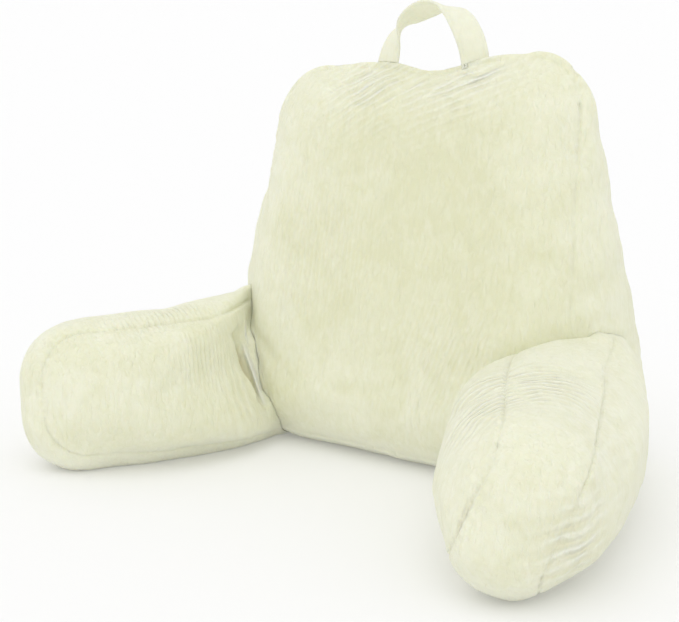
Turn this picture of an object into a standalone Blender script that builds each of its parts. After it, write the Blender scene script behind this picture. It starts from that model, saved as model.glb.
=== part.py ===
# Reading pillow: a wedge-shaped back cushion, two bolster arms sewn to its lower corners
# and a strap handle sewn into its top seam. Metres, +Z up, the sitter faces -Y.
# The origin is the middle of the back cushion's flat base.
import bpy
import bmesh
from math import cos, exp, pi, radians, sin, sqrt
from mathutils import Vector

for old in list(bpy.data.objects):
    bpy.data.objects.remove(old, do_unlink=True)

# Back cushion: outline of its seam seen from the front
BACK_HALF_WIDTH_FOOT = 0.241
BACK_HALF_WIDTH_TOP = 0.200
BACK_SEAM_FOOT = 0.022
BACK_SEAM_TOP = 0.445
BACK_FOOT_RADIUS = 0.030
BACK_TOP_RADIUS = 0.055
# the right shoulder stands higher than the left by this slope
BACK_TOP_SLOPE = 0.080
# the front panel would meet the floor this far forward of the middle of the base
BACK_FRONT_FOOT = -0.110
# the front panel leans back by this much per metre of height
BACK_LEAN = 0.194
BACK_DEPTH_FOOT = 0.250
BACK_DEPTH_TOP = 0.0105
BACK_DEPTH_LEAST = 0.006
# the rear seam stands upright below this distance behind the front foot
BACK_REAR_LIMIT = 0.222
BACK_REAR_SOFT = 0.045
# the strap draws the top seam down between its two ends
TOP_DIP = 0.013
TOP_DIP_MIDDLE = 0.012
TOP_DIP_REACH = 0.050
# how strongly the dip keeps to the top edge
TOP_DIP_POWER = 6
BACK_FRONT_CROWN = 0.034
BACK_REAR_CROWN = 0.026
BACK_SIDE_BULGE = 0.005
BACK_FOOT_BULGE = 0.032

# Arms: outline of a side panel, length by height
ARM_SEAM_FOOT = 0.0105
ARM_SEAM_TOP_ROOT = 0.169
ARM_SEAM_TOP_FRONT = 0.1475
ARM_ROOT_RADIUS = 0.020
ARM_FRONT_FOOT_RADIUS = 0.048
ARM_FRONT_TOP_RADIUS = 0.056
ARM_STRIP_ROOT = 0.109
ARM_STRIP_FRONT = 0.084
ARM_CROWN = 0.045
ARM_STRIP_BULGE = 0.0105
ARM_FOOT_BULGE = 0.018
ARM_FRONT_BULGE = 0.016

# A row per arm: which side it is on, where its centre line is measured from inside the back
# cushion (outwards, and behind the front panel's foot), how far its sewn root runs on behind
# that, its heading out from straight forward at the root and at the front, its length, how far
# its inner side is rolled upwards at the root and at the front, how far its front end is
# lifted, where along it the sewn crease with the back lies, and the crease itself as pairs of
# height and distance inwards from the centre line
ARM_TABLE = [
    {"name": "arm_left", "side": -1, "root_out": 0.172, "root_back": 0.075, "root_run": 0.070,
     "heading": (8.0, 35.0), "length": 0.348, "roll": (-4.0, 14.0), "lift": 0.003,
     "crease_at": 0.060, "crease": ((0.0, 0.030), (0.02, 0.023), (0.09, -0.017), (0.16, -0.045))},
    {"name": "arm_right", "side": 1, "root_out": 0.194, "root_back": 0.087, "root_run": 0.070,
     "heading": (22.0, 23.9), "length": 0.396, "roll": (-8.0, 22.0), "lift": 0.008,
     "crease_at": 0.045, "crease": ((0.0, 0.070), (0.09, 0.090), (0.125, 0.067), (0.17, -0.020))},
]
# the top of the root sinks by this much towards its rear end
ROOT_SAG = 0.020
ROOT_SAG_POWER = 1.5
CREASE_SLOPE = 1.3
CREASE_SOFT = 0.030

# Handle: a flat strap bent up into a loop
STRAP_WIDTH = 0.032
STRAP_THICK = 0.005
STRAP_RINGS_PER_STATION = 5
# A row per station: across, height over the seam, and how far the strap's width
# has turned from along the seam
STRAP_TABLE = [
    {"x": -0.060, "up": -0.020, "turn": 4},
    {"x": -0.054, "up": 0.010, "turn": 8},
    {"x": -0.044, "up": 0.034, "turn": 26},
    {"x": -0.030, "up": 0.054, "turn": 56},
    {"x": -0.007, "up": 0.067, "turn": 82},
    {"x": 0.018, "up": 0.067, "turn": 104},
    {"x": 0.040, "up": 0.054, "turn": 126},
    {"x": 0.055, "up": 0.033, "turn": 142},
    {"x": 0.063, "up": 0.009, "turn": 154},
    {"x": 0.067, "up": -0.022, "turn": 164},
]

# A row per corner of the strap's section: share of half the width and of half the thickness
STRAP_SECTION = [(-1.0, -0.4), (-0.9, -1.0), (0.0, -1.0), (0.9, -1.0), (1.0, -0.4),
                 (1.0, 0.4), (0.9, 1.0), (0.0, 1.0), (-0.9, 1.0), (-1.0, 0.4)]

# Sewn edges and the room left between neighbouring pieces
SEAM_DIP = 0.0010
PIECE_GAP = 0.0004
# how far the room kept for the back cushion is carried down past the floor
ROOM_BELOW = 0.066
PANEL_STEPS = 20
STRIP_STEPS = 6
ARC_STEPS = 12
CROWN_POWER = 0.44
STRIP_POWER = 0.6

PLUSH = (0.800, 0.795, 0.640, 1.0)
STRAP_PLUSH = (0.850, 0.845, 0.700, 1.0)


def eased(count):
    """Fractions from 0 to 1 that crowd towards both ends."""
    return [0.5 - 0.5 * cos(pi * k / count) for k in range(count + 1)]


def soft_least(a, b, soft):
    """The lesser of two values, with a rounded change from one to the other."""
    return 0.5 * (a + b - sqrt((a - b) ** 2 + soft ** 2))


def between(pairs, at):
    """Straight-line value between the pairs on either side."""
    for (x0, y0), (x1, y1) in zip(pairs, pairs[1:]):
        if at <= x1:
            break
    return y0 + (y1 - y0) * min(max((at - x0) / (x1 - x0), 0.0), 1.0)


def rounded_sides(corners, radii):
    """Four runs of points round a four-cornered outline, each from mid-corner to mid-corner."""
    arcs = []
    for k in range(4):
        here = Vector(corners[k])
        before = (Vector(corners[k - 1]) - here).normalized()
        after = (Vector(corners[(k + 1) % 4]) - here).normalized()
        half = before.angle(after) / 2
        centre = here + (before + after).normalized() * (radii[k] / sin(half))
        first = here + before * (radii[k] / (sin(half) / cos(half)))
        last = here + after * (radii[k] / (sin(half) / cos(half)))
        arc = []
        for s in range(2 * ARC_STEPS + 1):
            share = s / (2 * ARC_STEPS)
            spoke = (first - centre).lerp(last - centre, share).normalized()
            arc.append(centre + spoke * radii[k])
        arcs.append(arc)
    return [arcs[k][ARC_STEPS:] + arcs[(k + 1) % 4][:ARC_STEPS + 1] for k in range(4)]


def spread(run, fractions):
    """Points on a run at the given fractions of its length."""
    reach = [0.0]
    for a, b in zip(run, run[1:]):
        reach.append(reach[-1] + (b - a).length)
    out = []
    for f in fractions:
        want = f * reach[-1]
        k = 0
        while k < len(run) - 2 and reach[k + 1] < want:
            k += 1
        out.append(run[k].lerp(run[k + 1], (want - reach[k]) / (reach[k + 1] - reach[k])))
    return out


def outline(corners, radii):
    """The closed seam outline: points and their outward directions."""
    points = []
    for run in rounded_sides(corners, radii):
        points += spread(run, eased(PANEL_STEPS))[:-1]
    total = len(points)
    outward = []
    for k in range(total):
        along = points[(k + 1) % total] - points[k - 1]
        outward.append(Vector((along.y, -along.x)).normalized())
    return points, outward


def panel_point(points, i, j):
    """A point of the panel stretched over the outline, by column and row."""
    n = PANEL_STEPS
    total = len(points)
    u, v = eased(n)[i], eased(n)[j]
    foot, top = points[i], points[3 * n - i]
    left, right = points[(4 * n - j) % total], points[n + j]
    blend = points[0] * (1 - u) * (1 - v) + points[n] * u * (1 - v)
    blend += points[2 * n] * u * v + points[3 * n] * (1 - u) * v
    return foot * (1 - v) + top * v + left * (1 - u) + right * u - blend


def ring_index(i, j):
    """Where a border point of the panel sits on the outline."""
    n = PANEL_STEPS
    if j == 0:
        return i
    if i == n:
        return n + j
    if j == n:
        return 3 * n - i
    return (4 * n - j) % (4 * n)


def box_cushion(corners, radii, crowns, bulge, place):
    """A closed cushion: two crowned panels joined by a strip that bulges between its two seams.

    place(a, b, t, proud) puts outline point (a, b) in space, t across the strip from the
    first panel to the second, standing proud of its panel by the given amount."""
    points, outward = outline(corners, radii)
    points = [p - o * SEAM_DIP for p, o in zip(points, outward)]
    n = PANEL_STEPS
    bm = bmesh.new()
    rings = []
    for s in range(STRIP_STEPS + 1):
        t = s / STRIP_STEPS
        swell = (4 * t * (1 - t)) ** STRIP_POWER
        ring = []
        for p, o in zip(points, outward):
            q = p + o * (bulge(o) * swell)
            ring.append(bm.verts.new(place(q.x, q.y, t, 0.0)))
        rings.append(ring)
    for s in range(STRIP_STEPS):
        for k in range(4 * n):
            m = (k + 1) % (4 * n)
            bm.faces.new((rings[s][k], rings[s][m], rings[s + 1][m], rings[s + 1][k]))
    for t, ring, crown in ((0, rings[0], crowns[0]), (1, rings[-1], crowns[1])):
        grid = {}
        for i in range(n + 1):
            for j in range(n + 1):
                if i in (0, n) or j in (0, n):
                    grid[i, j] = ring[ring_index(i, j)]
                    continue
                u, v = eased(n)[i], eased(n)[j]
                rise = (16 * u * (1 - u) * v * (1 - v)) ** CROWN_POWER
                q = panel_point(points, i, j)
                grid[i, j] = bm.verts.new(place(q.x, q.y, t, crown * rise))
        for i in range(n):
            for j in range(n):
                bm.faces.new((grid[i, j], grid[i + 1, j], grid[i + 1, j + 1], grid[i, j + 1]))
    bmesh.ops.recalc_face_normals(bm, faces=bm.faces)
    bmesh.ops.triangulate(bm, faces=bm.faces)
    return bm


def rest_on_floor(bm):
    """Press the underside flat at floor level."""
    everything = bm.verts[:] + bm.edges[:] + bm.faces[:]
    cut = bmesh.ops.bisect_plane(bm, geom=everything, plane_co=(0, 0, 0), plane_no=(0, 0, -1),
                                 clear_outer=True)
    rim = [e for e in cut["geom_cut"] if isinstance(e, bmesh.types.BMEdge)]
    bmesh.ops.holes_fill(bm, edges=rim, sides=0)
    flat = [f for f in bm.faces if len(f.verts) > 4]
    bmesh.ops.triangulate(bm, faces=flat)
    bmesh.ops.recalc_face_normals(bm, faces=bm.faces)


def plush(name, colour):
    made = bpy.data.materials.new(name)
    made.use_nodes = True
    shader = made.node_tree.nodes["Principled BSDF"]
    shader.inputs["Base Color"].default_value = colour
    shader.inputs["Roughness"].default_value = 0.9
    return made


def add_object(name, bm, material):
    mesh = bpy.data.meshes.new(name)
    bm.to_mesh(mesh)
    bm.free()
    mesh.materials.append(material)
    mesh.shade_smooth()
    made = bpy.data.objects.new(name, mesh)
    bpy.context.scene.collection.objects.link(made)
    return made


# Back cushion: a wedge, deep at the floor and closing to a single seam at the top
def back_depth(z):
    depth = BACK_DEPTH_FOOT + (BACK_DEPTH_TOP - BACK_DEPTH_FOOT) * z / BACK_SEAM_TOP
    depth = soft_least(depth, BACK_REAR_LIMIT - BACK_LEAN * z, BACK_REAR_SOFT)
    return max(depth, BACK_DEPTH_LEAST)


def place_back(x, z, t, proud):
    up = max(0.0, z / BACK_SEAM_TOP)
    z += BACK_TOP_SLOPE * x * up
    z -= TOP_DIP * exp(-((x - TOP_DIP_MIDDLE) / TOP_DIP_REACH) ** 2) * up ** TOP_DIP_POWER
    front = BACK_FRONT_FOOT + BACK_LEAN * z
    y = front + back_depth(z) * t
    y += -proud if t == 0 else proud
    return Vector((x, y, z))


def back_bulge(outward):
    return BACK_SIDE_BULGE + (BACK_FOOT_BULGE - BACK_SIDE_BULGE) * max(0.0, -outward.y)


def back_body():
    corners = [(-BACK_HALF_WIDTH_FOOT, BACK_SEAM_FOOT), (BACK_HALF_WIDTH_FOOT, BACK_SEAM_FOOT),
               (BACK_HALF_WIDTH_TOP, BACK_SEAM_TOP), (-BACK_HALF_WIDTH_TOP, BACK_SEAM_TOP)]
    radii = [BACK_FOOT_RADIUS, BACK_FOOT_RADIUS, BACK_TOP_RADIUS, BACK_TOP_RADIUS]
    return box_cushion(corners, radii, (BACK_FRONT_CROWN, BACK_REAR_CROWN), back_bulge, place_back)


cover = plush("cover_plush", PLUSH)
body = back_body()
room = body.copy()
rest_on_floor(body)
add_object("back_cushion", body, cover)

# The room that the back cushion takes out of its neighbours, run down below the floor
room.normal_update()
grown = [v.co + v.normal * PIECE_GAP for v in room.verts]
for v, co in zip(room.verts, grown):
    v.co = co
    if co.z < BACK_SEAM_FOOT:
        v.co.z = co.z - ROOM_BELOW
back_room = add_object("back_room", room, cover)
back_room.hide_render = True
back_room.display_type = "WIRE"


# Arms: round-sectioned bolsters of two crowned side panels and a strip over the top,
# down the front and under the foot
def arm_bulge(outward):
    bulge = ARM_STRIP_BULGE + (ARM_FOOT_BULGE - ARM_STRIP_BULGE) * max(0.0, -outward.y)
    return bulge + (ARM_FRONT_BULGE - ARM_STRIP_BULGE) * max(0.0, outward.x) ** 2


def arm_placer(row):
    start, end = (radians(a) for a in row["heading"])
    roll_start, roll_end = (radians(a) for a in row["roll"])
    bend = (end - start) / row["length"]

    def place(along, height, t, proud):
        share = min(max(along / row["length"], 0.0), 1.0)
        heading = start + bend * along
        out = (cos(start) - cos(heading)) / bend
        forward = (sin(heading) - sin(start)) / bend
        strip = ARM_STRIP_ROOT + (ARM_STRIP_FRONT - ARM_STRIP_ROOT) * share
        inward = strip * (0.5 - t)
        inward += proud if t == 0 else -proud
        # roll about the middle of the section
        middle = ARM_SEAM_FOOT + ARM_SEAM_TOP_ROOT
        middle = (middle + (ARM_SEAM_TOP_FRONT - ARM_SEAM_TOP_ROOT) * share) / 2
        roll = roll_start + (roll_end - roll_start) * share
        rise = height - middle
        across = inward * cos(roll) - rise * sin(roll)
        z = middle + inward * sin(roll) + rise * cos(roll) + row["lift"] * share ** 2
        behind = max(-along, 0.0) / row["root_run"]
        z -= ROOT_SAG * behind ** ROOT_SAG_POWER * height / ARM_SEAM_TOP_ROOT
        limit = between(row["crease"], z) + CREASE_SLOPE * max(along - row["crease_at"], 0.0)
        across = soft_least(across, limit, CREASE_SOFT)
        x = row["root_out"] + out - across * cos(heading)
        y = BACK_FRONT_FOOT + row["root_back"] - forward - across * sin(heading)
        return Vector((row["side"] * x, y, z))
    return place


def arm_body(row):
    root = -row["root_run"]
    corners = [(root, ARM_SEAM_FOOT), (row["length"], ARM_SEAM_FOOT),
               (row["length"], ARM_SEAM_TOP_FRONT), (root, ARM_SEAM_TOP_ROOT)]
    radii = [ARM_ROOT_RADIUS, ARM_FRONT_FOOT_RADIUS, ARM_FRONT_TOP_RADIUS, ARM_ROOT_RADIUS]
    return box_cushion(corners, radii, (ARM_CROWN, ARM_CROWN), arm_bulge, arm_placer(row))


for row in ARM_TABLE:
    body = arm_body(row)
    rest_on_floor(body)
    arm = add_object(row["name"], body, cover)
    fitting = arm.modifiers.new("fitted_to_back", "BOOLEAN")
    fitting.operation = "DIFFERENCE"
    fitting.solver = "EXACT"
    fitting.object = back_room


# Handle: the strap's two ends stand in the top seam, side by side along it
def strap_body():
    bm = bmesh.new()
    loops = []
    stations = [Vector((r["x"], r["up"], r["turn"])) for r in STRAP_TABLE]
    fine = []
    for k in range(len(stations) - 1):
        p0 = stations[max(k - 1, 0)]
        p1, p2 = stations[k], stations[k + 1]
        p3 = stations[min(k + 2, len(stations) - 1)]
        for s in range(STRAP_RINGS_PER_STATION):
            f = s / STRAP_RINGS_PER_STATION
            a = 2 * p1 + (p2 - p0) * f + (2 * p0 - 5 * p1 + 4 * p2 - p3) * f ** 2
            fine.append((a + (3 * p1 - p0 - 3 * p2 + p3) * f ** 3) / 2)
    fine.append(stations[-1])
    for k, here in enumerate(fine):
        ahead = fine[min(k + 1, len(fine) - 1)]
        behind = fine[max(k - 1, 0)]
        along = Vector((ahead.x - behind.x, 0.0, ahead.y - behind.y)).normalized()
        turn = radians(here.z)
        wide = Vector((cos(turn), -sin(turn), 0.0))
        wide = (wide - along * wide.dot(along)).normalized()
        through = along.cross(wide)
        top = BACK_SEAM_TOP + BACK_TOP_SLOPE * here.x
        seam_y = BACK_FRONT_FOOT + BACK_LEAN * top + BACK_DEPTH_LEAST
        centre = Vector((here.x, seam_y, top + here.y))
        ring = []
        for w, d in STRAP_SECTION:
            off = wide * (w * STRAP_WIDTH / 2) + through * (d * STRAP_THICK / 2)
            ring.append(bm.verts.new(centre + off))
        loops.append(ring)
    count = len(STRAP_SECTION)
    for a, b in zip(loops, loops[1:]):
        for k in range(count):
            m = (k + 1) % count
            bm.faces.new((a[k], a[m], b[m], b[k]))
    bm.faces.new(loops[0])
    bm.faces.new(loops[-1])
    bmesh.ops.recalc_face_normals(bm, faces=bm.faces)
    return bm


handle = add_object("carry_handle", strap_body(), plush("strap_plush", STRAP_PLUSH))
fitting = handle.modifiers.new("sewn_into_seam", "BOOLEAN")
fitting.operation = "DIFFERENCE"
fitting.solver = "EXACT"
fitting.object = back_room
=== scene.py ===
from math import cos, exp, pi, radians, sin, sqrt, tan

import bmesh
import bpy
import numpy as np
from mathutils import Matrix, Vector, noise
from mathutils.bvhtree import BVHTree
from mathutils.kdtree import KDTree


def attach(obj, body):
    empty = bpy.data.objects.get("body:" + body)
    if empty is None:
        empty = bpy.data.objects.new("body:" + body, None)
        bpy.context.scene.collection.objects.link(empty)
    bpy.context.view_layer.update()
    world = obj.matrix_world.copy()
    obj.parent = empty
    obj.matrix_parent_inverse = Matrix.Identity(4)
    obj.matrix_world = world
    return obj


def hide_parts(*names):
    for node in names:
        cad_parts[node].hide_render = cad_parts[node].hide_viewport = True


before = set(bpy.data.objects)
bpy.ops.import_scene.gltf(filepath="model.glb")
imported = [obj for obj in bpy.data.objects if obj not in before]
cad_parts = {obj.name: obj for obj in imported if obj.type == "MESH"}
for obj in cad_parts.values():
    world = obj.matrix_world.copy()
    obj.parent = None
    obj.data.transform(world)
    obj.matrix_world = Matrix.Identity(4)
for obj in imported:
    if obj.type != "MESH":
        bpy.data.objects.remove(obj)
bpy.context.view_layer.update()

scene = bpy.context.scene


# Studio: a plain white floor that glows faintly, even white light from all round, and one wide
# soft lamp high in front. The camera stands in front and to the right, a little above the handle.
FLOOR_HALF = 60.0
FLOOR_BELOW = 0.0004
FLOOR_WHITE = (0.81, 0.81, 0.81, 1.0)
FLOOR_GLOW = 0.125
FLOOR_ROUGH = 0.9
FLOOR_SHINE = 0.1
SKY_WHITE = (1.0, 1.0, 1.0, 1.0)
SKY_STRENGTH = 0.92
LAMP_FROM = (0.10, -0.35, 0.90)
LAMP_SOFTNESS = 50.0
LAMP_STRENGTH = 0.50
CAMERA_TURN = 37.52
CAMERA_RISE = 12.4
CAMERA_AWAY = 1.8344
CAMERA_AIM = (-0.0948, -0.0600, 0.1567)
SENSOR_WIDE = 36.0
FRAME_WIDE = 679
FOCAL_IN_FRAME = 1541.5

floor_mesh = bpy.data.meshes.new("studio_floor")
floor_corners = [(-FLOOR_HALF, -FLOOR_HALF, -FLOOR_BELOW), (FLOOR_HALF, -FLOOR_HALF, -FLOOR_BELOW),
                 (FLOOR_HALF, FLOOR_HALF, -FLOOR_BELOW), (-FLOOR_HALF, FLOOR_HALF, -FLOOR_BELOW)]
floor_mesh.from_pydata(floor_corners, [], [(0, 1, 2, 3)])
floor = bpy.data.objects.new("studio_floor", floor_mesh)
scene.collection.objects.link(floor)
floor_paint = bpy.data.materials.new("studio_white")
floor_paint.use_nodes = True
floor_shader = floor_paint.node_tree.nodes["Principled BSDF"]
floor_shader.inputs["Base Color"].default_value = FLOOR_WHITE
floor_shader.inputs["Emission Color"].default_value = SKY_WHITE
floor_shader.inputs["Emission Strength"].default_value = FLOOR_GLOW
floor_shader.inputs["Roughness"].default_value = FLOOR_ROUGH
floor_shader.inputs["Specular IOR Level"].default_value = FLOOR_SHINE
floor_mesh.materials.append(floor_paint)

world = bpy.data.worlds.new("studio_sky")
scene.world = world
world.use_nodes = True
sky = world.node_tree.nodes["Background"]
sky.inputs["Color"].default_value = SKY_WHITE
sky.inputs["Strength"].default_value = SKY_STRENGTH

lamp_data = bpy.data.lights.new("soft_lamp", "SUN")
lamp_data.energy = LAMP_STRENGTH
lamp_data.angle = radians(LAMP_SOFTNESS)
lamp = bpy.data.objects.new("soft_lamp", lamp_data)
lamp.rotation_euler = Vector(LAMP_FROM).to_track_quat("Z", "Y").to_euler()
scene.collection.objects.link(lamp)

camera_data = bpy.data.cameras.new("photo_camera")
camera_data.sensor_width = SENSOR_WIDE
camera_data.lens = FOCAL_IN_FRAME * SENSOR_WIDE / FRAME_WIDE
camera = bpy.data.objects.new("photo_camera", camera_data)
turn, rise = radians(CAMERA_TURN), radians(CAMERA_RISE)
toward = Vector((sin(turn) * cos(rise), -cos(turn) * cos(rise), sin(rise)))
camera.location = Vector(CAMERA_AIM) + toward * CAMERA_AWAY
camera.rotation_euler = (-toward).to_track_quat("-Z", "Y").to_euler()
scene.collection.objects.link(camera)
scene.camera = camera
scene.view_settings.view_transform = "Standard"


# Back cushion: a cover of cream plush, its front and rear panels sewn together along the top,
# with a strip let in round the sides and foot that widens to the floor. It is stuffed with loose
# fibre until the panels crown, and its short nap is brushed this way and that.
BACK_CORNERS = [(-0.241, 0.015), (0.241, 0.015), (0.198, 0.4485), (-0.198, 0.4485)]
BACK_RADII = [0.022, 0.022, 0.066, 0.066]
BACK_TOP = 0.445
BACK_TOP_SLOPE = 0.080
BACK_FRONT_FOOT = -0.110
BACK_LEAN = 0.194
BACK_DEPTH_FOOT = 0.250
BACK_DEPTH_TOP = 0.0105
BACK_DEPTH_LEAST = 0.004
BACK_REAR_LIMIT = 0.222
BACK_REAR_SOFT = 0.045
BACK_HIPS = 0.009
BACK_HIPS_AT = 0.170
BACK_HIPS_REACH = 0.150
BACK_LIP = 0.020
BACK_LIP_AT = 0.055
BACK_LIP_RISE = 0.020
TOP_DIP = 0.011
TOP_DIP_MIDDLE = 0.012
TOP_DIP_REACH = 0.050
TOP_DIP_POWER = 6
BACK_CROWNS = (0.034, 0.026)
BACK_STEPS = 40
BACK_STRIP_STEPS = 10
ARC_STEPS = 12
BACK_FULLNESS = 5.5
BACK_STRIP_SWELL = 0.007
BACK_SIDE_SWELL = 0.0045
BACK_SIDE_SWELL_POWER = 6
BACK_FOOT_SWELL = 0.018
STRIP_FULLNESS = 2.6
EVEN_SHARE = 0.35
SPREADING_ROUNDS = 1500
FILLING_ROUNDS = 4000
SEAM_CRISP = 0.5
FINER_LEVELS = 2


def eased(count):
    """Fractions from 0 to 1 that crowd gently towards both ends."""
    even = np.arange(count + 1) / count
    return EVEN_SHARE * even + (1 - EVEN_SHARE) * (0.5 - 0.5 * np.cos(pi * even))


def seam_outline(corners, radii, steps):
    """The closed seam of a panel, from mid-corner to mid-corner, with its outward directions."""
    arcs = []
    for k in range(4):
        here = Vector(corners[k])
        before = (Vector(corners[k - 1]) - here).normalized()
        after = (Vector(corners[(k + 1) % 4]) - here).normalized()
        half = before.angle(after) / 2
        centre = here + (before + after).normalized() * (radii[k] / sin(half))
        first = here + before * (radii[k] / tan(half)) - centre
        last = here + after * (radii[k] / tan(half)) - centre
        shares = [s / (2 * ARC_STEPS) for s in range(2 * ARC_STEPS + 1)]
        arcs.append([centre + first.lerp(last, s).normalized() * radii[k] for s in shares])
    points = []
    for k in range(4):
        run = np.array([tuple(p) for p in arcs[k][ARC_STEPS:] + arcs[(k + 1) % 4][:ARC_STEPS + 1]])
        reach = np.r_[0.0, np.cumsum(np.linalg.norm(np.diff(run, axis=0), axis=1))]
        wanted = eased(steps)[:-1] * reach[-1]
        points += list(zip(np.interp(wanted, reach, run[:, 0]), np.interp(wanted, reach, run[:, 1])))
    points = np.array(points)
    along = np.roll(points, -1, 0) - np.roll(points, 1, 0)
    outward = np.stack([along[:, 1], -along[:, 0]], 1)
    return points, outward / np.linalg.norm(outward, axis=1)[:, None]


def crowned(share, fullness):
    """How far the filling pushes the cloth out, from nothing at a seam to all in the middle."""
    return 1 - abs(2 * share - 1) ** fullness


def panel_grid(points, n, fullness):
    """A panel inside its seam: across, up and how full, from none at the seam to all inside."""
    u, v = np.meshgrid(eased(n), eased(n), indexing="ij")
    u, v = u[..., None], v[..., None]
    steps = np.arange(n + 1)
    foot, top = points[steps][:, None], points[3 * n - steps][:, None]
    left, right = points[(4 * n - steps) % (4 * n)][None], points[n + steps][None]
    flat = foot * (1 - v) + top * v + left * (1 - u) + right * u
    flat = flat - points[0] * (1 - u) * (1 - v) - points[n] * u * (1 - v)
    flat = flat - points[2 * n] * u * v - points[3 * n] * (1 - u) * v
    for _ in range(SPREADING_ROUNDS):
        around = flat[2:, 1:-1] + flat[:-2, 1:-1] + flat[1:-1, 2:] + flat[1:-1, :-2]
        flat[1:-1, 1:-1] = around / 4
    middle = flat[1:-1, 1:-1]
    room = sum(((beside - middle) ** 2).sum(2) for beside in
               (flat[2:, 1:-1], flat[:-2, 1:-1], flat[1:-1, 2:], flat[1:-1, :-2]))
    swell = np.zeros((n + 1, n + 1))
    for _ in range(FILLING_ROUNDS):
        around = swell[2:, 1:-1] + swell[:-2, 1:-1] + swell[1:-1, 2:] + swell[1:-1, :-2]
        swell[1:-1, 1:-1] = (around + room) / 4
    puff = 1 - (1 - swell / swell.max()) ** fullness
    return np.concatenate([flat, puff[..., None]], axis=2)


def box_cushion(name, corners, radii, crowns, fullness, bulge, place, steps, strip_steps):
    """Two crowned panels joined by a bulging strip. Returns the piece and its two seams."""
    points, outward = seam_outline(corners, radii, steps)
    n = steps
    count = 4 * n
    bm = bmesh.new()
    rings = []
    for t in eased(strip_steps):
        swell = crowned(t, STRIP_FULLNESS)
        ring = []
        for p, o in zip(points, outward):
            q = p + o * bulge(o) * swell
            ring.append(bm.verts.new(place(q[0], q[1], t, 0.0)))
        rings.append(ring)
    for a, b in zip(rings, rings[1:]):
        for k in range(count):
            m = (k + 1) % count
            bm.faces.new((a[k], a[m], b[m], b[k]))
    flat = panel_grid(points, n, fullness)
    for t, ring, crown in ((0, rings[0], crowns[0]), (1, rings[-1], crowns[1])):
        grid = {}
        for i in range(n + 1):
            grid[i, 0] = ring[i]
            grid[n, i] = ring[n + i]
            grid[i, n] = ring[3 * n - i]
            grid[0, i] = ring[(count - i) % count]
        for i in range(1, n):
            for j in range(1, n):
                x, y, puff = flat[i, j]
                grid[i, j] = bm.verts.new(place(x, y, t, crown * puff))
        for i in range(n):
            for j in range(n):
                bm.faces.new((grid[i, j], grid[i + 1, j], grid[i + 1, j + 1], grid[i, j + 1]))
    bmesh.ops.recalc_face_normals(bm, faces=bm.faces)
    bm.verts.index_update()
    crisp = bm.edges.layers.float.new("crease_edge")
    for ring in (rings[0], rings[-1]):
        for k, v in enumerate(ring):
            bm.edges.get((v, ring[k - 1]))[crisp] = SEAM_CRISP
    seams = [[v.index for v in rings[0]], [v.index for v in rings[-1]]]
    mesh = bpy.data.meshes.new(name)
    bm.to_mesh(mesh)
    bm.free()
    piece = bpy.data.objects.new(name, mesh)
    scene.collection.objects.link(piece)
    return piece, seams


def points_of(piece):
    """The points of a piece's mesh, in metres."""
    flat = np.empty(len(piece.data.vertices) * 3, dtype=np.float32)
    piece.data.vertices.foreach_get("co", flat)
    return flat.reshape(-1, 3).astype(float)


def normals_of(piece):
    """Which way the cloth faces at each point."""
    flat = np.empty(len(piece.data.vertices) * 3, dtype=np.float32)
    piece.data.vertex_normals.foreach_get("vector", flat)
    return flat.reshape(-1, 3).astype(float)


def move_to(piece, points):
    """Put the points of a piece's mesh where they are told."""
    piece.data.vertices.foreach_set("co", points.astype(np.float32).ravel())
    piece.data.update()


def applied(piece):
    """Keep the piece's mesh as its modifiers leave it."""
    depsgraph = bpy.context.evaluated_depsgraph_get()
    finished = bpy.data.meshes.new_from_object(piece.evaluated_get(depsgraph))
    piece.modifiers.clear()
    piece.data = finished
    return finished


SETTLE_FRAMES = 20
SETTLE_CARE = 5
SETTLE_WEIGHT = 0.3
SETTLE_PRESSURE = 4.0
SETTLE_SLACK = -0.015


def settle(piece, seams, give, hold):
    """Let the cover swell as cloth under air pressure, held at its seams, and keep it in reach."""
    start = points_of(piece)
    held = piece.vertex_groups.new(name="held")
    held.add(seams[0] + seams[1], hold, "REPLACE")
    cloth = piece.modifiers.new("settle", "CLOTH")
    cloth.settings.quality = SETTLE_CARE
    cloth.settings.mass = SETTLE_WEIGHT
    cloth.settings.use_pressure = True
    cloth.settings.uniform_pressure_force = SETTLE_PRESSURE
    cloth.settings.shrink_min = SETTLE_SLACK
    cloth.settings.vertex_group_mass = "held"
    cloth.settings.effector_weights.gravity = 0.0
    cloth.point_cache.frame_start = 1
    cloth.point_cache.frame_end = SETTLE_FRAMES
    for frame_number in range(1, SETTLE_FRAMES + 1):
        scene.frame_set(frame_number)
    depsgraph = bpy.context.evaluated_depsgraph_get()
    swollen = piece.evaluated_get(depsgraph)
    flat = np.empty(len(swollen.data.vertices) * 3, dtype=np.float32)
    swollen.data.vertices.foreach_get("co", flat)
    moved = flat.reshape(-1, 3).astype(float) - start
    far = np.linalg.norm(moved, axis=1)
    keep = give * np.tanh(far / give) / np.maximum(far, 1e-9)
    piece.modifiers.clear()
    piece.vertex_groups.clear()
    scene.frame_set(1)
    move_to(piece, start + moved * keep[:, None])


def refine(piece, levels):
    """Finer faces, with the seams kept crisp."""
    divide = piece.modifiers.new("finer", "SUBSURF")
    divide.levels = levels
    divide.render_levels = levels
    applied(piece)


def seam_line(piece, loop):
    """Closely spaced points along a seam, and how far along each lies."""
    corners = points_of(piece)[loop]
    closed = np.vstack([corners, corners[:1]])
    reach = np.r_[0.0, np.cumsum(np.linalg.norm(np.diff(closed, axis=0), axis=1))]
    wanted = np.arange(0.0, reach[-1], SEAM_POINTS_APART)
    return np.stack([np.interp(wanted, reach, closed[:, k]) for k in range(3)], 1), wanted


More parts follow.
